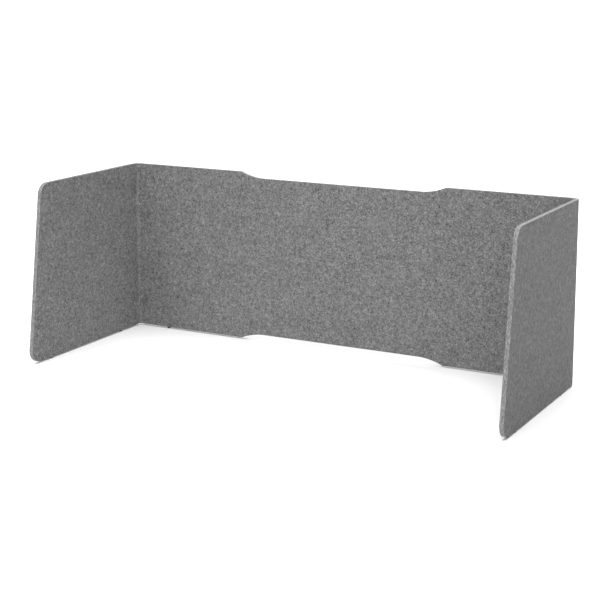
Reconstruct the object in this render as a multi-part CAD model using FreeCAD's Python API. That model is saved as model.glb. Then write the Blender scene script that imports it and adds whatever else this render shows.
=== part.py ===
"""Free-standing study carrel: a felt-faced board folded round three sides of a desk place.

All lengths are millimetres.  X runs to the sitter's right, Y away from the sitter and Z up.
The origin is on the desk top, midway across the width and midway along the depth.

The board is a laminate: a felt skin, a stiff core and a second felt skin.  A wing hangs on each
end of the back panel through a soft bend, where both skins run on and a soft filler takes the
place of the core.  A bend is round in its middle and straight at both ends, and it is the
hinge.  Six rubber feet are screwed to the core.
"""
import FreeCAD, Part
import math
import os
from FreeCAD import Vector

# Overall size of the board
OUTER_WIDTH = 1400.0        # across the outer faces of the wings
BOARD_HEIGHT = 500.0        # without the feet
REACH_AT_BOTTOM = 542.0     # rear face to front edge at the lower edge, before the corner is rounded
REACH_AT_TOP = 474.0        # the same at the upper edge, so the front edge leans back
FRONT_CORNER_RADIUS = 35.0

# Layers
SKIN_THICKNESS = 2.0
CORE_THICKNESS = 8.0

# Bends
BEND_INNER_RADIUS = 12.0
BEND_LEG = 12.0             # soft straight run between the round and the stiff panel

# Hand notch in the upper edge of the back, and the same shape below for cables
NOTCH_WIDTH = 644.0         # between its sharp corners
NOTCH_FLAT = 494.0          # length of its straight middle
NOTCH_DEPTH = 16.4

# Feet
FOOT_DIAMETER = 10.0
FOOT_HEIGHT = 4.0
FOOT_EDGE_RADIUS = 1.0
BACK_FOOT_INSET = 115.0     # outer face of a wing to the back panel's foot
REAR_FOOT_REACH = 110.0     # rear face of the board to a wing's rear foot
FRONT_FOOT_REACH = 450.0    # rear face of the board to a wing's front foot

# Screws
SHANK_DIAMETER = 3.0
SHANK_LENGTH = 16.0
TIP_LENGTH = 3.0
HEAD_DIAMETER = 5.6
HEAD_HEIGHT = 1.7
HEAD_EDGE_RADIUS = 0.6
HEAD_RECESS = 0.5           # desk top to the head, which stays up inside the foot
DRIVE_SPAN = 3.2            # the cross recess in the head
DRIVE_SLOT = 0.7
DRIVE_DEPTH = 1.0
HEAD_CLEARANCE = 0.3        # round the head, in the foot's counterbore
SHANK_CLEARANCE = 0.05      # round the shank, in the foot

LEFT, RIGHT = -1, 1
UP = Vector(0, 0, 1)
SAME_HEIGHT = 1e-6          # two heights closer than this are the same


def wing_front_line():
    """Unit direction of a wing's front edge, upward, as (forward, up)."""
    lean = REACH_AT_TOP - REACH_AT_BOTTOM
    length = math.hypot(lean, BOARD_HEIGHT)
    return lean / length, BOARD_HEIGHT / length


def forward_reach():
    """Rear face to the foremost point of the rounded lower corner."""
    forward, up = wing_front_line()
    centre = REACH_AT_BOTTOM + FRONT_CORNER_RADIUS * (forward - 1) / up
    return centre + FRONT_CORNER_RADIUS


# Places that follow from the sizes above
BOARD_THICKNESS = CORE_THICKNESS + 2 * SKIN_THICKNESS
BEND_OUTER_RADIUS = BEND_INNER_RADIUS + BOARD_THICKNESS
HALF_WIDTH = OUTER_WIDTH / 2
BACK_END = HALF_WIDTH - BEND_OUTER_RADIUS - BEND_LEG
REAR_FACE = forward_reach() / 2
WING_END = REAR_FACE - BEND_OUTER_RADIUS - BEND_LEG
BOARD_BOTTOM = FOOT_HEIGHT
BOARD_TOP = BOARD_BOTTOM + BOARD_HEIGHT
HEAD_SEAT = HEAD_RECESS + HEAD_HEIGHT   # desk top to the step in the foot that the head bears on

# Each layer as its distance from the board's outer face, and its thickness
LAYERS = {
    "outer_felt": (0.0, SKIN_THICKNESS),
    "core": (SKIN_THICKNESS, CORE_THICKNESS),
    "inner_felt": (SKIN_THICKNESS + CORE_THICKNESS, SKIN_THICKNESS),
}


def line(start, end):
    return Part.LineSegment(start, end).toShape()


def arc_about(centre, start, end):
    """The shorter arc from start to end round centre."""
    radius = (start - centre).Length
    middle = centre + (start - centre + end - centre).normalize() * radius
    return Part.Arc(start, middle, end).toShape()


def rounded(corner, before, after, radius):
    """Arc of the given radius that rounds the corner between two straight edges."""
    to_before = (before - corner).normalize()
    to_after = (after - corner).normalize()
    half_angle = to_before.getAngle(to_after) / 2
    tangent = radius / math.tan(half_angle)
    bisector = (to_before + to_after).normalize()
    centre = corner + bisector * (radius / math.sin(half_angle))
    return arc_about(centre, corner + to_before * tangent, corner + to_after * tangent)


def prism(edges, direction):
    """Solid swept from a closed flat outline."""
    face = Part.Face(Part.Wire(edges))
    return face.extrude(direction)


def ends(edge):
    """An edge's first and last point."""
    return edge.valueAt(edge.FirstParameter), edge.valueAt(edge.LastParameter)


def wing_layer(side, layer):
    """One layer of a wing, from the bend forward to the leaning front edge."""
    offset, thickness = LAYERS[layer]
    x = side * (HALF_WIDTH - offset)
    rear_low = Vector(x, WING_END, BOARD_BOTTOM)
    rear_high = Vector(x, WING_END, BOARD_TOP)
    front_low = Vector(x, REAR_FACE - REACH_AT_BOTTOM, BOARD_BOTTOM)
    front_high = Vector(x, REAR_FACE - REACH_AT_TOP, BOARD_TOP)
    low_corner = rounded(front_low, rear_low, front_high, FRONT_CORNER_RADIUS)
    high_corner = rounded(front_high, front_low, rear_high, FRONT_CORNER_RADIUS)
    low_start, low_end = ends(low_corner)
    high_start, high_end = ends(high_corner)
    outline = [
        line(rear_low, low_start),
        low_corner,
        line(low_end, high_start),
        high_corner,
        line(high_end, rear_high),
        line(rear_high, rear_low),
    ]
    return prism(outline, Vector(-side * thickness, 0, 0))


def notched_edge(y, edge_z, inward, half_length):
    """The back's upper or lower edge from left to right, with its shallow notch.

    inward is +1 when the board lies above the edge and -1 when it lies below.
    """
    half_width = NOTCH_WIDTH / 2
    half_flat = NOTCH_FLAT / 2
    run = half_width - half_flat
    flank_radius = (run ** 2 + NOTCH_DEPTH ** 2) / (2 * NOTCH_DEPTH)
    floor_z = edge_z + inward * NOTCH_DEPTH
    centre_z = floor_z - inward * flank_radius
    left_lip = Vector(-half_width, y, edge_z)
    left_floor = Vector(-half_flat, y, floor_z)
    right_floor = Vector(half_flat, y, floor_z)
    right_lip = Vector(half_width, y, edge_z)
    return [
        line(Vector(-half_length, y, edge_z), left_lip),
        arc_about(Vector(-half_flat, y, centre_z), left_lip, left_floor),
        line(left_floor, right_floor),
        arc_about(Vector(half_flat, y, centre_z), right_floor, right_lip),
        line(right_lip, Vector(half_length, y, edge_z)),
    ]


def back_layer(layer):
    """One layer of the back panel, between the two bends."""
    offset, thickness = LAYERS[layer]
    y = REAR_FACE - offset
    low = notched_edge(y, BOARD_BOTTOM, 1, BACK_END)
    high = notched_edge(y, BOARD_TOP, -1, BACK_END)
    sides = [
        line(Vector(side * BACK_END, y, BOARD_BOTTOM), Vector(side * BACK_END, y, BOARD_TOP))
        for side in (LEFT, RIGHT)
    ]
    outline = Part.sortEdges(low + high + sides)[0]
    return prism(outline, Vector(0, -thickness, 0))


def bend_layer(side, layer):
    """One layer of a bend: a quarter of a ring with a straight leg at each end."""
    offset, thickness = LAYERS[layer]
    backward = Vector(0, 1, 0)
    outward = Vector(side, 0, 0)
    to_back = outward * -BEND_LEG
    to_wing = backward * -BEND_LEG
    centre = Vector(side * (BACK_END + BEND_LEG), WING_END + BEND_LEG, BOARD_BOTTOM)
    large = BEND_OUTER_RADIUS - offset
    small = large - thickness
    large_back = centre + backward * large
    large_wing = centre + outward * large
    small_back = centre + backward * small
    small_wing = centre + outward * small
    outline = [
        line(large_back + to_back, large_back),
        arc_about(centre, large_back, large_wing),
        line(large_wing, large_wing + to_wing),
        line(large_wing + to_wing, small_wing + to_wing),
        line(small_wing + to_wing, small_wing),
        arc_about(centre, small_wing, small_back),
        line(small_back, small_back + to_back),
        line(small_back + to_back, large_back + to_back),
    ]
    return prism(outline, UP * BOARD_HEIGHT)


def round_edge_below(solid, radius, height):
    """Fillet the solid's outer circular edge at the given height."""
    circles = [
        edge for edge in solid.Edges
        if abs(edge.BoundBox.ZMin - height) < SAME_HEIGHT
        and abs(edge.BoundBox.ZMax - height) < SAME_HEIGHT
    ]
    widest = max(circles, key=lambda edge: edge.Length)
    return solid.makeFillet(radius, [widest])


def foot(x, y):
    """A round rubber foot with a stepped hole for its screw."""
    body = Part.makeCylinder(FOOT_DIAMETER / 2, FOOT_HEIGHT, Vector(x, y, 0), UP)
    body = round_edge_below(body, FOOT_EDGE_RADIUS, 0)
    counterbore = Part.makeCylinder(
        HEAD_DIAMETER / 2 + HEAD_CLEARANCE, HEAD_SEAT, Vector(x, y, 0), UP)
    hole = Part.makeCylinder(SHANK_DIAMETER / 2 + SHANK_CLEARANCE, FOOT_HEIGHT, Vector(x, y, 0), UP)
    return body.cut(counterbore).cut(hole)


def foot_screw(x, y):
    """A pan-head screw, point up, whose head bears on the step inside the foot."""
    head_bottom = Vector(x, y, HEAD_RECESS)
    head = Part.makeCylinder(HEAD_DIAMETER / 2, HEAD_HEIGHT, head_bottom, UP)
    head = round_edge_below(head, HEAD_EDGE_RADIUS, head_bottom.z)
    straight = SHANK_LENGTH - TIP_LENGTH
    shank = Part.makeCylinder(SHANK_DIAMETER / 2, straight, Vector(x, y, HEAD_SEAT), UP)
    tip_base = Vector(x, y, HEAD_SEAT + straight)
    tip = Part.makeCone(SHANK_DIAMETER / 2, 0, TIP_LENGTH, tip_base, UP)
    screw = head.fuse([shank, tip]).removeSplitter()
    along_x = Part.makeBox(
        DRIVE_SPAN, DRIVE_SLOT, DRIVE_DEPTH, head_bottom - Vector(DRIVE_SPAN / 2, DRIVE_SLOT / 2, 0))
    along_y = Part.makeBox(
        DRIVE_SLOT, DRIVE_SPAN, DRIVE_DEPTH, head_bottom - Vector(DRIVE_SLOT / 2, DRIVE_SPAN / 2, 0))
    return screw.cut(along_x.fuse(along_y))


def foot_places():
    """Panel and axis of every foot, by the foot's name."""
    mid_thickness = BOARD_THICKNESS / 2
    places = {}
    for side, word in ((LEFT, "left"), (RIGHT, "right")):
        wing_x = side * (HALF_WIDTH - mid_thickness)
        back_x = side * (HALF_WIDTH - BACK_FOOT_INSET)
        wing = word + "_wing"
        places[wing + "_front_foot"] = (wing, wing_x, REAR_FACE - FRONT_FOOT_REACH)
        places[wing + "_rear_foot"] = (wing, wing_x, REAR_FACE - REAR_FOOT_REACH)
        places["back_" + word + "_foot"] = ("back", back_x, REAR_FACE - mid_thickness)
    return places


def build():
    """Every piece of the carrel, by its name."""
    pieces = {}
    for layer in LAYERS:
        pieces["back_" + layer] = back_layer(layer)
        for side, word in ((LEFT, "left"), (RIGHT, "right")):
            pieces[word + "_wing_" + layer] = wing_layer(side, layer)
            bend_name = "filler" if layer == "core" else layer
            pieces[word + "_bend_" + bend_name] = bend_layer(side, layer)
    for name, (panel, x, y) in foot_places().items():
        screw = foot_screw(x, y)
        pieces[name] = foot(x, y)
        pieces[name + "_screw"] = screw
        core = panel + "_core"
        pieces[core] = pieces[core].cut(screw)
    return pieces


def main():
    os.makedirs("parts", exist_ok=True)
    for name, shape in sorted(build().items()):
        solids = shape.Solids
        if len(solids) != 1 or not solids[0].isValid():
            raise RuntimeError(name + " is not one valid solid")
        solids[0].exportStep("parts/" + name + ".step")
        box = solids[0].BoundBox
        print("%-30s %12.1f mm3  %8.2f %8.2f %8.2f" % (
            name, solids[0].Volume, box.XLength, box.YLength, box.ZLength))


main()
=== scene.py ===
"""Looks of the folding felt study carrel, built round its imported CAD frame.  Lengths are metres.

The carrel is one board bent round three sides of a desk place.  Each layer of each stretch of
the board is a slab: an outline in the board's own flat coordinates, q along the stretch and z up,
and a depth n below the board's outer face.  A stretch's `to_space` bends that into the room, and
its `path` gives the distance along the whole board, counted from the middle of the back.
"""
import math

import bpy
import numpy as np
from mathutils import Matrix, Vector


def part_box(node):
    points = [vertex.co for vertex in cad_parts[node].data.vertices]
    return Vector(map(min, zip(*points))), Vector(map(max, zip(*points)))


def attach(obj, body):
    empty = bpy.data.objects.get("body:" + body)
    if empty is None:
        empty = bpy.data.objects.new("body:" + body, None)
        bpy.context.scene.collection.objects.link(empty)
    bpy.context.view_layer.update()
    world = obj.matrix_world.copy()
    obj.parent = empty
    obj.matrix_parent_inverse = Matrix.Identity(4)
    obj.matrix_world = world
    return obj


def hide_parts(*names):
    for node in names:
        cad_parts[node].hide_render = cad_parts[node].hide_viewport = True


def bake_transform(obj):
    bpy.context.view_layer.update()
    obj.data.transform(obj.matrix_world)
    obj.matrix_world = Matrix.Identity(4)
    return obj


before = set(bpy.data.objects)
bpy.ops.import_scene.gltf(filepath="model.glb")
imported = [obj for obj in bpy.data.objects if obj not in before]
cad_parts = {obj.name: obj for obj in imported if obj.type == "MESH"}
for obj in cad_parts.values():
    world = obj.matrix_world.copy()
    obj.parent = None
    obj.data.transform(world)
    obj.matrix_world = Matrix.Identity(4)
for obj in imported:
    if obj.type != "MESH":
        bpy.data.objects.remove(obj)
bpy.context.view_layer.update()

MM = 0.001
LEFT, RIGHT = -1, 1
WORDS = {LEFT: "left", RIGHT: "right"}

# The board's shape where the frame's boxes don't give it
FRONT_LEAN = 68 * MM          # how far a wing's front edge leans back over its height
FRONT_CORNER = 35 * MM        # radius of a wing's two front corners
BEND_LEG = 12 * MM            # straight run at each end of a bend

# Finish of the felt's edges and faces
CUT_ROUND = 0.7 * MM          # the felt's soft arris beside a cut edge
SEAM_ROUND = 0.18 * MM        # the fine groove where two layers meet on a cut edge
FACE_RELIEF = 0.10 * MM       # how uneven the felt's faces are
EDGE_RELIEF = 0.09 * MM       # how uneven the cut edges are

# Fineness of the meshes
FACE_STEP = 5 * MM            # spacing of a face's grid
SUPPORT_STEPS = (1 * MM, 3 * MM)            # closer grid lines beside a cut edge
CORNER_STEPS = 10             # steps over half of a wing's rounded corner
LEG_POINTS = 5                # across a bend's straight leg
ARC_POINTS = 25               # round a bend's arc
ARRIS_ANGLES = (0, 30, 60, 90)              # round the felt's arris, in degrees
CORE_EDGE_POINTS = 5          # across the core's cut edge
SHARP_ANGLE = 40              # degrees between two faces that makes a crisp edge

TINY = 1e-9


# ---------------------------------------------------------------- places, from the frame

outer_lo, outer_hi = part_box("back_outer_felt")
core_lo, core_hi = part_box("back_core")
inner_lo, inner_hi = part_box("back_inner_felt")
wing_lo, wing_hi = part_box("left_wing_outer_felt")

BACK_END = outer_hi.x
REAR = outer_hi.y
THICKNESS = outer_hi.y - inner_lo.y
BOTTOM = outer_lo.z
TOP = outer_hi.z
HALF_WIDTH = -wing_lo.x
WING_END = wing_hi.y
FRONT = wing_lo.y
DEPTHS = {
    "outer_felt": (0.0, outer_hi.y - outer_lo.y),
    "core": (REAR - core_hi.y, REAR - core_lo.y),
    "inner_felt": (THICKNESS, REAR - inner_hi.y),
}
BEND_OUTER = HALF_WIDTH - BACK_END - BEND_LEG
BEND_ARC = (BEND_OUTER - THICKNESS / 2) * math.pi / 2


def notch_from(node):
    """Half width between the lips, half length of the flat floor, and depth of the upper notch."""
    on_top_edge = 0.01 * MM
    upper = [v.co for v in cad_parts[node].data.vertices if v.co.z > (BOTTOM + TOP) / 2]
    floor = min(upper, key=lambda co: abs(co.x))
    lip = min((co for co in upper if TOP - co.z < on_top_edge), key=lambda co: abs(co.x))
    return abs(lip.x), abs(floor.x), TOP - floor.z


NOTCH_LIP, NOTCH_FLAT, NOTCH_DEPTH = notch_from("back_core")


# ---------------------------------------------------------------- the board, bent into the room

def back_space(q, z, n):
    return np.stack([q, REAR - n, z], -1)


def back_path(q, n):
    return q


def wing_space(side):
    def to_space(q, z, n):
        return np.stack([side * (HALF_WIDTH - n), WING_END - q, z], -1)
    return to_space


def wing_path(side):
    def path(q, n):
        return side * (BACK_END + 2 * BEND_LEG + (BEND_OUTER - n) * math.pi / 2 + q)
    return path


def bend_stages(q):
    """How far q has turned round the bend, and how far it is short of the arc and past it."""
    turn = np.clip((q - BEND_LEG) / BEND_ARC, 0, 1) * math.pi / 2
    return turn, np.minimum(q - BEND_LEG, 0), np.maximum(q - BEND_LEG - BEND_ARC, 0)


def bend_space(side):
    def to_space(q, z, n):
        turn, before, after = bend_stages(q)
        radius = BEND_OUTER - n
        x = BACK_END + BEND_LEG + before + radius * np.sin(turn)
        y = REAR - BEND_OUTER + radius * np.cos(turn) - after
        return np.stack([side * x, y, z], -1)
    return to_space


def bend_path(side):
    def path(q, n):
        turn, before, after = bend_stages(q)
        return side * (BACK_END + BEND_LEG + before + (BEND_OUTER - n) * turn + after)
    return path


# ---------------------------------------------------------------- the felt's small unevenness

def lattice_noise(a, b, cell, seed):
    """Smooth repeatable noise from -1 to 1 over the plane (a, b), with features of size cell."""
    def corner(i, j):
        mixed = np.sin(i * 127.1 + j * 311.7 + seed * 74.7) * 43758.5453
        return (mixed - np.floor(mixed)) * 2 - 1
    a, b = a / cell, b / cell
    i, j = np.floor(a), np.floor(b)
    u, v = a - i, b - j
    u, v = u * u * (3 - 2 * u), v * v * (3 - 2 * v)
    low = corner(i, j) * (1 - u) + corner(i + 1, j) * u
    high = corner(i, j + 1) * (1 - u) + corner(i + 1, j + 1) * u
    return low * (1 - v) + high * v


def face_relief(s, z, n):
    """Height of the felt's face at distance s along the board: tufts on slow waves."""
    seed = 1 + np.round(n / THICKNESS)
    return FACE_RELIEF * (
        0.6 * lattice_noise(s, z, 11 * MM, seed) + 0.8 * lattice_noise(s, z, 34 * MM, seed + 5))


def edge_relief(s, z, n):
    """How far the cut edge stands back at distance s along the board: nicks on slow waves."""
    along = s + z
    return EDGE_RELIEF * (
        0.7 * lattice_noise(along, n, 6 * MM, 11) + 0.5 * lattice_noise(along, n, 17 * MM, 12))


# ---------------------------------------------------------------- outlines

def spaced(length, step=FACE_STEP, tight_start=True, tight_end=True):
    """Distances from 0 to length, about one step apart and closer at the tight ends."""
    lead = [0.0, *SUPPORT_STEPS] if tight_start else [0.0]
    tail = [length - x for x in reversed(SUPPORT_STEPS)] + [length] if tight_end else [length]
    count = max(1, round((tail[0] - lead[-1]) / step))
    middle = np.linspace(lead[-1], tail[0], count + 1)[1:-1]
    return np.array([*lead, *middle, *tail])


def cut_side(q_points, z, facing):
    """A level cut side, facing down (-1) or up (1)."""
    points = np.array([(q, z) for q in q_points], float)
    return points, np.array([(0, facing)] * len(q_points), float)


def upright(q, zs):
    """An upright side that runs on into the next stretch, so it isn't cut and has no normals."""
    points = np.stack([np.full_like(zs, q), zs], -1)
    return points, np.zeros_like(points)


def plain_outline(length, qs):
    """A rectangle of board whose top and bottom are cut and whose two ends run on."""
    zs = BOTTOM + spaced(TOP - BOTTOM)
    return cut_side(qs, BOTTOM, -1), upright(length, zs), cut_side(qs, TOP, 1), upright(0, zs)


def back_outline():
    """The back panel, with a shallow notch in its upper and lower edges."""
    run = NOTCH_LIP - NOTCH_FLAT
    radius = (run ** 2 + NOTCH_DEPTH ** 2) / (2 * NOTCH_DEPTH)
    half = np.concatenate([
        spaced(NOTCH_FLAT, tight_start=False, tight_end=False)[:-1],
        NOTCH_FLAT + spaced(run, tight_start=False)[:-1],
        NOTCH_LIP + spaced(BACK_END - NOTCH_LIP, tight_end=False),
    ])
    qs = np.concatenate([-half[:0:-1], half])
    into = np.clip(np.abs(qs) - NOTCH_FLAT, 0, run)
    depth = NOTCH_DEPTH - (radius - np.sqrt(radius ** 2 - into ** 2))
    depth[np.abs(qs) >= NOTCH_LIP - TINY] = 0
    slope = np.where(np.abs(qs) < NOTCH_LIP - TINY, np.arcsin(into / radius), 0)
    slope = np.where(np.abs(np.abs(qs) - NOTCH_LIP) < TINY, math.asin(run / radius) / 2, slope)
    lean = np.sign(qs) * np.sin(slope)
    rise = np.cos(slope)
    zs = BOTTOM + spaced(TOP - BOTTOM)
    bottom = np.stack([qs, BOTTOM + depth], -1), np.stack([-lean, -rise], -1)
    top = np.stack([qs, TOP - depth], -1), np.stack([-lean, rise], -1)
    return bottom, upright(BACK_END, zs), top, upright(-BACK_END, zs)


def wing_outline():
    """A wing: upright at the bend, leaning at the front, with two rounded front corners."""
    height = TOP - BOTTOM
    lean = math.atan2(FRONT_LEAN, height)
    forward = np.array([math.cos(lean), math.sin(lean)])        # outward normal of the front edge
    reach = WING_END - FRONT
    low = np.array([reach - FRONT_CORNER, BOTTOM + FRONT_CORNER])
    high_z = TOP - FRONT_CORNER
    high = np.array([low[0] - (high_z - low[1]) * math.tan(lean), high_z])
    front_low = low + forward * FRONT_CORNER
    front_high = high + forward * FRONT_CORNER

    def arc(centre, start, end):
        angles = np.linspace(start, end, CORNER_STEPS + 1)
        normals = np.stack([np.cos(angles), np.sin(angles)], -1)
        return centre + FRONT_CORNER * normals, normals

    def side(parts):
        points = np.concatenate([parts[0][0]] + [p[0][1:] for p in parts[1:]])
        normals = np.concatenate([parts[0][1]] + [p[1][1:] for p in parts[1:]])
        return points, normals

    def line(start, end, normal, distances):
        share = (distances / distances[-1])[:, None]
        points = np.array(start) * (1 - share) + np.array(end) * share
        return points, np.tile(normal, (len(points), 1))

    down, up = -math.pi / 2, math.pi / 2
    low_middle = (down + lean) / 2
    high_middle = (up + lean) / 2
    run = spaced(low[0], tight_start=False, tight_end=False)
    climb = spaced(np.linalg.norm(front_high - front_low), tight_start=False, tight_end=False)
    bottom = side([line((0, BOTTOM), (low[0], BOTTOM), (0, -1), run),
                   arc(low, down, low_middle)])
    front = side([arc(low, low_middle, lean),
                  line(front_low, front_high, forward, climb),
                  arc(high, lean, high_middle)])
    top = side([line((0, TOP), (high[0], TOP), (0, 1), run),
                tuple(a[::-1] for a in arc(high, high_middle, up))])
    rear_zs = BOTTOM + np.linspace(0, 1, len(front[0])) * height
    return bottom, front, top, upright(0, rear_zs)


# ---------------------------------------------------------------- slabs

def coons(bottom, end, top, start):
    """A grid that fills the space between four sides."""
    u = arc_share(bottom)[:, None, None]
    v = arc_share(start)[None, :, None]
    upward = (1 - v) * bottom[:, None] + v * top[:, None]
    along = (1 - u) * start[None] + u * end[None]
    corners = ((1 - u) * (1 - v) * bottom[0] + u * (1 - v) * bottom[-1]
               + (1 - u) * v * top[0] + u * v * top[-1])
    return upward + along - corners


def arc_share(points):
    """Each point's share of the way along its side."""
    steps = np.linalg.norm(np.diff(points, axis=0), axis=1)
    gone = np.concatenate([[0], np.cumsum(steps)])
    return gone / gone[-1]


def ring_of(outline):
    """The four sides as one closed ring of points with the outward normals of its cut sides."""
    bottom, end, top, start = outline
    points = [bottom[0], end[0][1:-1], top[0][::-1], start[0][::-1][1:-1]]
    normals = [bottom[1], end[1][1:-1], top[1][::-1], start[1][::-1][1:-1]]
    return np.concatenate(points), np.concatenate(normals)


def inset_sides(outline, inset):
    """The outline's sides, each cut side moved inward by inset."""
    bottom, end, top, start = (points - inset * normals for points, normals in outline)
    for side in (end, start):
        first, last = (bottom[-1], top[-1]) if side is end else (bottom[0], top[0])
        share = arc_share(side)[:, None]
        side += (first - side[0]) * (1 - share) + (last - side[-1]) * share
    return bottom, end, top, start


def grid_ring(index):
    """A grid's outer vertices, in the order of ring_of."""
    return np.concatenate([index[:, 0], index[-1, 1:-1], index[::-1, -1], index[0, -2:0:-1]])


def join(faces, ring, next_ring):
    """Adds the band of quads between two rings."""
    band = [ring, next_ring, np.roll(next_ring, -1), np.roll(ring, -1)]
    faces.extend(np.stack(band, -1).tolist())


def skin_profile(thickness):
    """(inset, depth) down a felt skin's cut edge, from its face to the glue line."""
    angles = [math.radians(a) for a in ARRIS_ANGLES]
    arris = [(CUT_ROUND * (1 - math.sin(a)), CUT_ROUND * (1 - math.cos(a))) for a in angles]
    return arris + [(0, thickness - SEAM_ROUND), (SEAM_ROUND, thickness)]


def core_profile(thickness):
    """(inset, depth) across the core's cut edge, from one glue line to the other."""
    steps = np.linspace(SEAM_ROUND, thickness - SEAM_ROUND, CORE_EDGE_POINTS)
    return [(SEAM_ROUND, 0)] + [(0, d) for d in steps] + [(SEAM_ROUND, thickness)]


def slab(name, outline, near, far, profile, to_space, path, is_skin, is_curved):
    """One layer of one stretch of board as a closed mesh.

    near and far are the depths of its two faces.  A skin's near face is a fine grid with the
    felt's relief; a glued face is one flat polygon, or a plain grid if the stretch is curved.
    A skin's rounded arris keeps the face's material, and the rest of the edge is cut fibre.
    The attribute board_place holds each point's place on the flat board, for the materials.
    """
    inward = 1 if far > near else -1
    ring, normals = ring_of(outline)
    count = len(ring)
    q_parts, z_parts, n_parts, faces, materials = [], [], [], [], []
    total = 0

    def add(points, depth, relief=False):
        """Adds points at one depth and returns the index of the first."""
        nonlocal total
        q, z = points[:, 0], points[:, 1]
        n = np.full(len(q), near + inward * depth)
        if relief:
            n = n - inward * face_relief(path(q, n), z, n)
        q_parts.append(q)
        z_parts.append(z)
        n_parts.append(n)
        total += len(q)
        return total - len(q)

    def add_face(inset, depth, relief, material, facing):
        """Adds a whole face and returns its ring of vertices."""
        if not (relief or is_curved):
            first = add(ring - inset * normals, depth)
            around = np.arange(first, first + count)
            faces.append(around[::facing].tolist())
            materials.append(material)
            return around
        grid = coons(*inset_sides(outline, inset))
        columns, rows = grid.shape[:2]
        index = np.arange(columns * rows).reshape(columns, rows) + add(
            grid.reshape(-1, 2), depth, relief)
        quads = np.stack([index[:-1, :-1], index[1:, :-1], index[1:, 1:], index[:-1, 1:]], -1)
        faces.extend(quads.reshape(-1, 4)[:, ::facing].tolist())
        materials.extend([material] * ((columns - 1) * (rows - 1)))
        return grid_ring(index)

    last_ring = add_face(*profile[0], is_skin, 0, 1)
    for row, (inset, depth) in enumerate(profile[1:-1]):
        n = near + inward * depth
        uneven = edge_relief(path(ring[:, 0], n), ring[:, 1], np.full(count, n))
        first = add(ring - (inset + uneven)[:, None] * normals, depth)
        this_ring = np.arange(first, first + count)
        join(faces, last_ring, this_ring)
        materials += [0 if is_skin and row < 2 else 1] * count
        last_ring = this_ring
    glued_ring = add_face(*profile[-1], False, 1, -1)
    join(faces, last_ring, glued_ring)
    materials += [1] * count

    q, z, n = (np.concatenate(parts) for parts in (q_parts, z_parts, n_parts))
    mesh = bpy.data.meshes.new(name)
    mesh.from_pydata(to_space(q, z, n), [], faces)
    mesh.polygons.foreach_set("material_index", np.array(materials, np.int32))
    mesh.polygons.foreach_set("use_smooth", np.ones(len(faces), bool))
    board = mesh.attributes.new("board_place", "FLOAT_VECTOR", "POINT")
    board.data.foreach_set("vector", np.stack([path(q, n), n, z], -1).astype(np.float32).ravel())
    piece = bpy.data.objects.new(name, mesh)
    bpy.context.scene.collection.objects.link(piece)
    make_normals_face_out(mesh)
    mesh.set_sharp_from_angle(angle=math.radians(SHARP_ANGLE))
    mesh.update()
    return piece


def make_normals_face_out(mesh):
    """Turns every face outward on a closed mesh, from the sign of its volume."""
    mesh.calc_loop_triangles()
    co = np.array([v.co for v in mesh.vertices], float)
    tris = np.array([t.vertices for t in mesh.loop_triangles])
    a, b, c = co[tris[:, 0]], co[tris[:, 1]], co[tris[:, 2]]
    if np.einsum("ij,ij->i", a, np.cross(b, c)).sum() < 0:
        mesh.flip_normals()


# ---------------------------------------------------------------- materials

DARKEST_FIBRE = 0.3           # share of a material's base tone that no fibre goes below
PALE_BIAS = 1.7               # how much brighter the pale fibres are than the dark ones are dark


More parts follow.
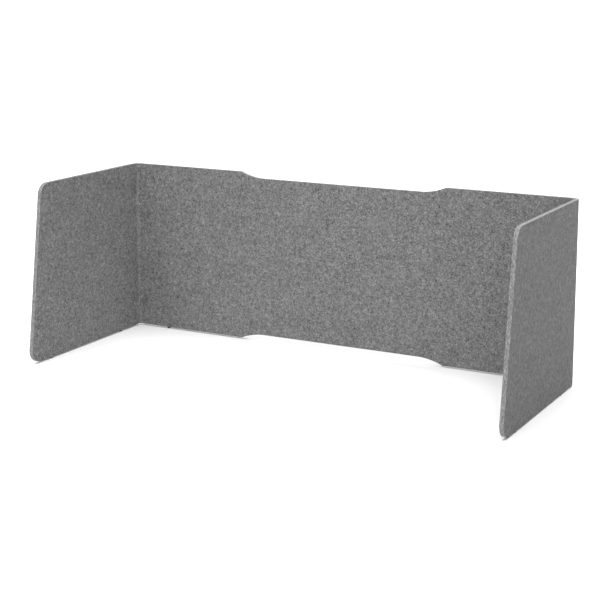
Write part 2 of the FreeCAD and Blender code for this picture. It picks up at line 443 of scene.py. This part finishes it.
class Nodes:
    """Short words for building a material's node tree."""

    def __init__(self, name):
        self.material = bpy.data.materials.new(name)
        self.material.use_nodes = True
        self.tree = self.material.node_tree
        self.shader = self.tree.nodes["Principled BSDF"]

    def add(self, kind, **settings):
        """A new node of one kind, with its properties set."""
        node = self.tree.nodes.new(kind)
        for key, value in settings.items():
            setattr(node, key, value)
        return node

    def link(self, source, target):
        self.tree.links.new(source, target)

    def compute(self, operation, *values, clamp=False):
        """The result of a Math node on numbers and sockets."""
        node = self.add("ShaderNodeMath", operation=operation, use_clamp=clamp)
        for socket, value in zip(node.inputs, values):
            if isinstance(value, (int, float)):
                socket.default_value = value
            else:
                self.link(value, socket)
        return node.outputs[0]

    def noise(self, vector, size, detail=2.0, roughness=0.5, distortion=0.0):
        """Noise from 0 to 1 whose features are about size metres across."""
        node = self.add("ShaderNodeTexNoise")
        node.inputs["Scale"].default_value = 1 / size
        node.inputs["Detail"].default_value = detail
        node.inputs["Roughness"].default_value = roughness
        node.inputs["Distortion"].default_value = distortion
        self.link(vector, node.inputs["Vector"])
        return node.outputs["Fac"]

    def scaled(self, vector, factors, offset=(0, 0, 0)):
        """The coordinates scaled, then moved by offset to reach another part of a texture."""
        node = self.add("ShaderNodeMapping")
        node.inputs["Scale"].default_value = factors
        node.inputs["Location"].default_value = offset
        self.link(vector, node.inputs["Vector"])
        return node.outputs[0]

    def swirled(self, vector, size, reach):
        """The coordinates pushed about by up to half of reach, in swirls of one size."""
        node = self.add("ShaderNodeTexNoise")
        node.inputs["Scale"].default_value = 1 / size
        node.inputs["Detail"].default_value = 1.0
        self.link(vector, node.inputs["Vector"])
        push = self.add("ShaderNodeVectorMath", operation="MULTIPLY_ADD")
        self.link(node.outputs["Color"], push.inputs[0])
        push.inputs[1].default_value = (reach,) * 3
        self.link(vector, push.inputs[2])
        return push.outputs[0]

    def peaks(self, field, crispness, cover):
        """1 on the peaks of a noise and 0 between them; the peaks widen with cover."""
        threshold = 0.62 - 0.2 * cover
        return self.compute("MULTIPLY_ADD", field, crispness, -crispness * threshold, clamp=True)

    def fibres(self, vector, angle, width, length, cover):
        """Fibres that lie at one angle on the board's face: 1 on a fibre and 0 between them."""
        along = self.add("ShaderNodeMapping", vector_type="TEXTURE")
        along.inputs["Rotation"].default_value = (0, math.radians(angle), 0)
        along.inputs["Scale"].default_value = (length / width, 1, 1)
        self.link(vector, along.inputs["Vector"])
        field = self.noise(along.outputs[0], width, detail=1.0)
        return self.peaks(field, 7.0, cover)

    def strands(self, vector, size, width, cover):
        """Long curly strands, 1 on a strand and 0 off it, each broken off here and there."""
        field = self.noise(vector, size, detail=1.0, distortion=0.4)
        off_line = self.compute("ABSOLUTE", self.compute("SUBTRACT", field, 0.5))
        line = self.compute("SUBTRACT", 1.0, self.compute("DIVIDE", off_line, width), clamp=True)
        moved = self.scaled(vector, (1, 1, 1), (7.7, 2.9, 4.1))
        breaks = self.noise(moved, 0.6 * size, detail=1.0)
        return self.compute("MULTIPLY", line, self.peaks(breaks, 9.0, cover))

    def tangle(self, vector, angles, width, length, cover):
        """Fibres at several angles at once."""
        layers = [self.fibres(vector, angle, width, length, cover) for angle in angles]
        result = layers[0]
        for layer in layers[1:]:
            result = self.compute("MAXIMUM", result, layer)
        return result

    def centred(self, value, amount):
        """A 0 to 1 value as a swing of plus or minus half of amount."""
        return self.compute("MULTIPLY", self.compute("SUBTRACT", value, 0.5), amount)

    def total(self, *values):
        result = values[0]
        for value in values[1:]:
            result = self.compute("ADD", result, value)
        return result

    def grey(self, value):
        """Makes the surface grey, as bright as value."""
        node = self.add("ShaderNodeCombineColor")
        for socket in node.inputs[:3]:
            self.link(value, socket)
        self.link(node.outputs[0], self.shader.inputs["Base Color"])

    def bump(self, height, distance, strength):
        """Gives the surface fine relief, distance metres high."""
        node = self.add("ShaderNodeBump")
        node.inputs["Distance"].default_value = distance
        node.inputs["Strength"].default_value = strength
        self.link(height, node.inputs["Height"])
        self.link(node.outputs[0], self.shader.inputs["Normal"])

    def set(self, **values):
        """Sets the shader's own inputs, named with _ for each space."""
        for key, value in values.items():
            self.shader.inputs[key.replace("_", " ")].default_value = value


def board_coordinates(nodes):
    """Place on the flat board, which runs on over the seams and stays put when a wing folds."""
    return nodes.add("ShaderNodeAttribute", attribute_name="board_place").outputs["Vector"]


def heather_felt(name, base, contrast):
    """Needled felt of pale and dark polyester fibres, matted into small curly clumps."""
    nodes = Nodes(name)
    place = board_coordinates(nodes)
    swept = nodes.swirled(place, size=9 * MM, reach=4 * MM)
    curled = nodes.swirled(swept, size=2.5 * MM, reach=1.1 * MM)
    other = nodes.scaled(curled, (1, 1, 1), (3.1, 1.7, 5.3))
    clumps = nodes.noise(curled, 5 * MM, detail=4.0, roughness=0.72, distortion=0.3)
    tufts = nodes.noise(other, 12 * MM, detail=2.0, roughness=0.6, distortion=0.3)
    drift = nodes.noise(place, 45 * MM, detail=2.0, roughness=0.5, distortion=0.3)
    specks = nodes.noise(place, 0.8 * MM, detail=2.0, roughness=0.6, distortion=0.5)
    pale = nodes.tangle(curled, (10, 75, 140), width=0.40 * MM, length=4.5 * MM, cover=0.35)
    dark = nodes.tangle(other, (40, 115), width=0.45 * MM, length=4.0 * MM, cover=0.40)
    # Pale fibres lie mostly on pale clumps and dark fibres on dark ones
    pale = nodes.compute(
        "MULTIPLY", pale, nodes.compute("MULTIPLY_ADD", clumps, 3.0, -0.8, clamp=True))
    dark = nodes.compute(
        "MULTIPLY", dark, nodes.compute("MULTIPLY_ADD", clumps, -3.0, 2.2, clamp=True))
    pale_strands = nodes.strands(other, 5 * MM, width=0.035, cover=0.45)
    dark_strands = nodes.strands(curled, 6 * MM, width=0.04, cover=0.40)
    swing = nodes.total(
        nodes.centred(clumps, 1.45),
        nodes.centred(tufts, 0.85),
        nodes.centred(drift, 0.22),
        nodes.compute("MULTIPLY", pale, 0.40),
        nodes.compute("MULTIPLY", dark, -0.30),
        nodes.compute("MULTIPLY", pale_strands, 0.35),
        nodes.compute("MULTIPLY", dark_strands, -0.30),
        nodes.centred(specks, 0.25),
    )
    brightness = nodes.compute(
        "MAXIMUM", nodes.compute("MULTIPLY_ADD", swing, contrast, 1.0), DARKEST_FIBRE)
    nodes.grey(nodes.compute("MULTIPLY", nodes.compute("POWER", brightness, PALE_BIAS), base))
    height = nodes.total(
        nodes.compute("MULTIPLY", clumps, 0.5),
        nodes.compute("MULTIPLY", pale, 0.3),
        nodes.compute("MULTIPLY", dark, 0.2),
        nodes.compute("MULTIPLY", pale_strands, 0.2),
        nodes.compute("MULTIPLY", specks, 0.2),
    )
    nodes.bump(height, distance=0.6 * MM, strength=0.6)
    nodes.set(Roughness=0.95, Specular_IOR_Level=0.1, Sheen_Weight=0.06, Sheen_Roughness=0.6)
    return nodes.material


def cut_fibre(name, base):
    """The sawn edge of the pressed board, with short fibre ends in faint layers."""
    nodes = Nodes(name)
    place = board_coordinates(nodes)
    curled = nodes.swirled(place, size=3 * MM, reach=1.2 * MM)
    layered = nodes.scaled(curled, (0.3, 1.5, 0.3))
    streaks = nodes.noise(layered, 0.9 * MM, detail=2.0, roughness=0.6, distortion=0.2)
    dashes = nodes.noise(layered, 2.6 * MM, detail=3.0, roughness=0.7, distortion=0.2)
    clumps = nodes.noise(curled, 8 * MM, detail=4.0, roughness=0.72, distortion=0.2)
    ends = nodes.noise(place, 0.5 * MM, detail=2.0, roughness=0.6, distortion=0.3)
    swing = nodes.total(
        nodes.centred(streaks, 1.1),
        nodes.centred(dashes, 2.0),
        nodes.centred(clumps, 2.3),
        nodes.centred(ends, 0.8),
    )
    brightness = nodes.compute("MAXIMUM", nodes.compute("ADD", swing, 1.0), DARKEST_FIBRE)
    nodes.grey(nodes.compute("MULTIPLY", brightness, base))
    height = nodes.total(streaks, ends, nodes.compute("MULTIPLY", clumps, 0.6))
    nodes.bump(height, distance=0.4 * MM, strength=0.6)
    nodes.set(Roughness=0.95, Specular_IOR_Level=0.15, Sheen_Weight=0.1, Sheen_Roughness=0.6)
    return nodes.material


def foot_rubber():
    """Matt black rubber with a little dust."""
    nodes = Nodes("foot_rubber_look")
    place = nodes.add("ShaderNodeTexCoord").outputs["Object"]
    dust = nodes.noise(place, 1.5 * MM, detail=3.0, roughness=0.6)
    nodes.grey(nodes.compute("ADD", nodes.compute("MULTIPLY", dust, 0.03), 0.03))
    nodes.bump(nodes.noise(place, 0.4 * MM), distance=0.08 * MM, strength=0.5)
    nodes.set(Roughness=0.75, Specular_IOR_Level=0.4)
    return nodes.material


def zinc_steel():
    """Zinc-plated steel with a faint spangle."""
    nodes = Nodes("zinc_steel_look")
    place = nodes.add("ShaderNodeTexCoord").outputs["Object"]
    spangle = nodes.noise(place, 0.8 * MM, detail=3.0, roughness=0.6)
    nodes.grey(nodes.compute("ADD", nodes.compute("MULTIPLY", spangle, 0.2), 0.5))
    nodes.bump(spangle, distance=0.03 * MM, strength=0.5)
    nodes.set(Roughness=0.35, Metallic=1.0)
    return nodes.material


# ---------------------------------------------------------------- the carrel's pieces

# Both faces are the same felt; the outer felt's base tone is set darker than the inner's, as
# painted shade on the outer faces.
FACE_LOOKS = {
    "outer_felt": heather_felt("outer_felt_painted_shade_look", base=0.1115, contrast=0.70),
    "inner_felt": heather_felt("inner_felt_look", base=0.1455, contrast=1.0),
}
CUT_LOOK = cut_fibre("cut_edge_look", base=0.195)
RUBBER = foot_rubber()
STEEL = zinc_steel()


def layer_piece(name, layer, outline, to_space, path, is_curved):
    """The piece for one layer of one stretch of the board."""
    near, far = DEPTHS[layer]
    thickness = abs(far - near)
    is_core = layer == "core"
    profile = core_profile(thickness) if is_core else skin_profile(thickness)
    piece = slab(name, outline, near, far, profile, to_space, path, not is_core, is_curved)
    piece.data.materials.append(CUT_LOOK if is_core else FACE_LOOKS[layer])
    piece.data.materials.append(CUT_LOOK)
    return piece


def make_panels():
    """The three flat stretches, in three layers each."""
    stretches = [("back", back_outline(), back_space, back_path)]
    for side, word in WORDS.items():
        stretches.append((word + "_wing", wing_outline(), wing_space(side), wing_path(side)))
    for panel, outline, to_space, path in stretches:
        for layer in DEPTHS:
            node = panel + "_" + layer
            piece = layer_piece(node + "_skin" if layer != "core" else node + "_board",
                                layer, outline, to_space, path, is_curved=False)
            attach(piece, panel)
            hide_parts(node)


def bend_outline():
    length = 2 * BEND_LEG + BEND_ARC
    legs = np.linspace(0, BEND_LEG, LEG_POINTS)
    arc = np.linspace(BEND_LEG, BEND_LEG + BEND_ARC, ARC_POINTS)
    qs = np.concatenate([legs, arc[1:], (length - legs[::-1])[1:]])
    return plain_outline(length, qs)


def make_bends():
    """The two soft bends, in three layers each, which turn between the back and a wing."""
    for side, word in WORDS.items():
        for layer in DEPTHS:
            node = word + "_bend_" + ("filler" if layer == "core" else layer)
            piece = layer_piece(node + "_strip", layer, bend_outline(),
                                bend_space(side), bend_path(side), is_curved=True)
            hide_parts(node)
            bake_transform(piece)


def dress_feet():
    """Gives the feet and their screws, which keep their CAD shapes, their materials."""
    for name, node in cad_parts.items():
        look = STEEL if name.endswith("_screw") else RUBBER if name.endswith("_foot") else None
        if look is None:
            continue
        if not node.material_slots:
            node.data.materials.append(look)
        for slot in node.material_slots:
            slot.link = "OBJECT"
            slot.material = look


# ---------------------------------------------------------------- floor, light and camera

FLOOR_SIZE = 120.0
FLOOR_DROP = 0.05 * MM        # keeps the floor clear of the feet's flat ends
FLOOR_TONE = 0.78
SKY_STRENGTH = 0.42
# Each lamp's strength, then its softness, its elevation and its azimuth from the front in degrees
LAMPS = {
    "overhead": (1.9, 60, 85, 0),
    "front": (1.0, 60, 30, 0),
    "right": (1.74, 60, 63, 62),
    "rear": (2.0, 60, 45, -135),
}

CAMERA_X = 1.838              # right of the carrel's middle
CAMERA_AHEAD = 3.660          # in front of the board's rear face
CAMERA_UP = 1.125             # above the board's lower edge
CAMERA_YAW = 28.29            # degrees to the left of straight ahead
CAMERA_PITCH = 10.60          # degrees downward
CAMERA_LENS = 87.9
CAMERA_SHIFT = -0.12


def make_floor():
    mesh = bpy.data.meshes.new("floor")
    half = FLOOR_SIZE / 2
    corners = [(-half, -half), (half, -half), (half, half), (-half, half)]
    mesh.from_pydata([(x, y, -FLOOR_DROP) for x, y in corners], [], [(0, 1, 2, 3)])
    floor = bpy.data.objects.new("floor", mesh)
    bpy.context.scene.collection.objects.link(floor)
    nodes = Nodes("floor_look")
    nodes.set(Base_Color=(FLOOR_TONE,) * 3 + (1,), Roughness=1.0, Specular_IOR_Level=0.0)
    mesh.materials.append(nodes.material)


def make_light():
    world = bpy.data.worlds.new("studio")
    bpy.context.scene.world = world
    world.use_nodes = True
    sky = world.node_tree.nodes["Background"]
    sky.inputs["Color"].default_value = (1, 1, 1, 1)
    sky.inputs["Strength"].default_value = SKY_STRENGTH
    for name, (strength, *angles) in LAMPS.items():
        softness, elevation, azimuth = (math.radians(angle) for angle in angles)
        data = bpy.data.lights.new(name, "SUN")
        data.energy = strength
        data.angle = softness
        lamp = bpy.data.objects.new(name, data)
        lamp.rotation_euler = (math.pi / 2 - elevation, 0, azimuth)
        bpy.context.scene.collection.objects.link(lamp)


def make_camera():
    data = bpy.data.cameras.new("camera")
    data.lens = CAMERA_LENS
    data.shift_y = CAMERA_SHIFT
    data.clip_end = FLOOR_SIZE
    camera = bpy.data.objects.new("camera", data)
    camera.location = (CAMERA_X, REAR - CAMERA_AHEAD, BOTTOM + CAMERA_UP)
    camera.rotation_euler = (math.radians(90 - CAMERA_PITCH), 0, math.radians(CAMERA_YAW))
    bpy.context.scene.collection.objects.link(camera)
    bpy.context.scene.camera = camera


make_panels()
make_bends()
dress_feet()
make_floor()
make_light()
make_camera()
bpy.context.scene.view_settings.view_transform = "Standard"
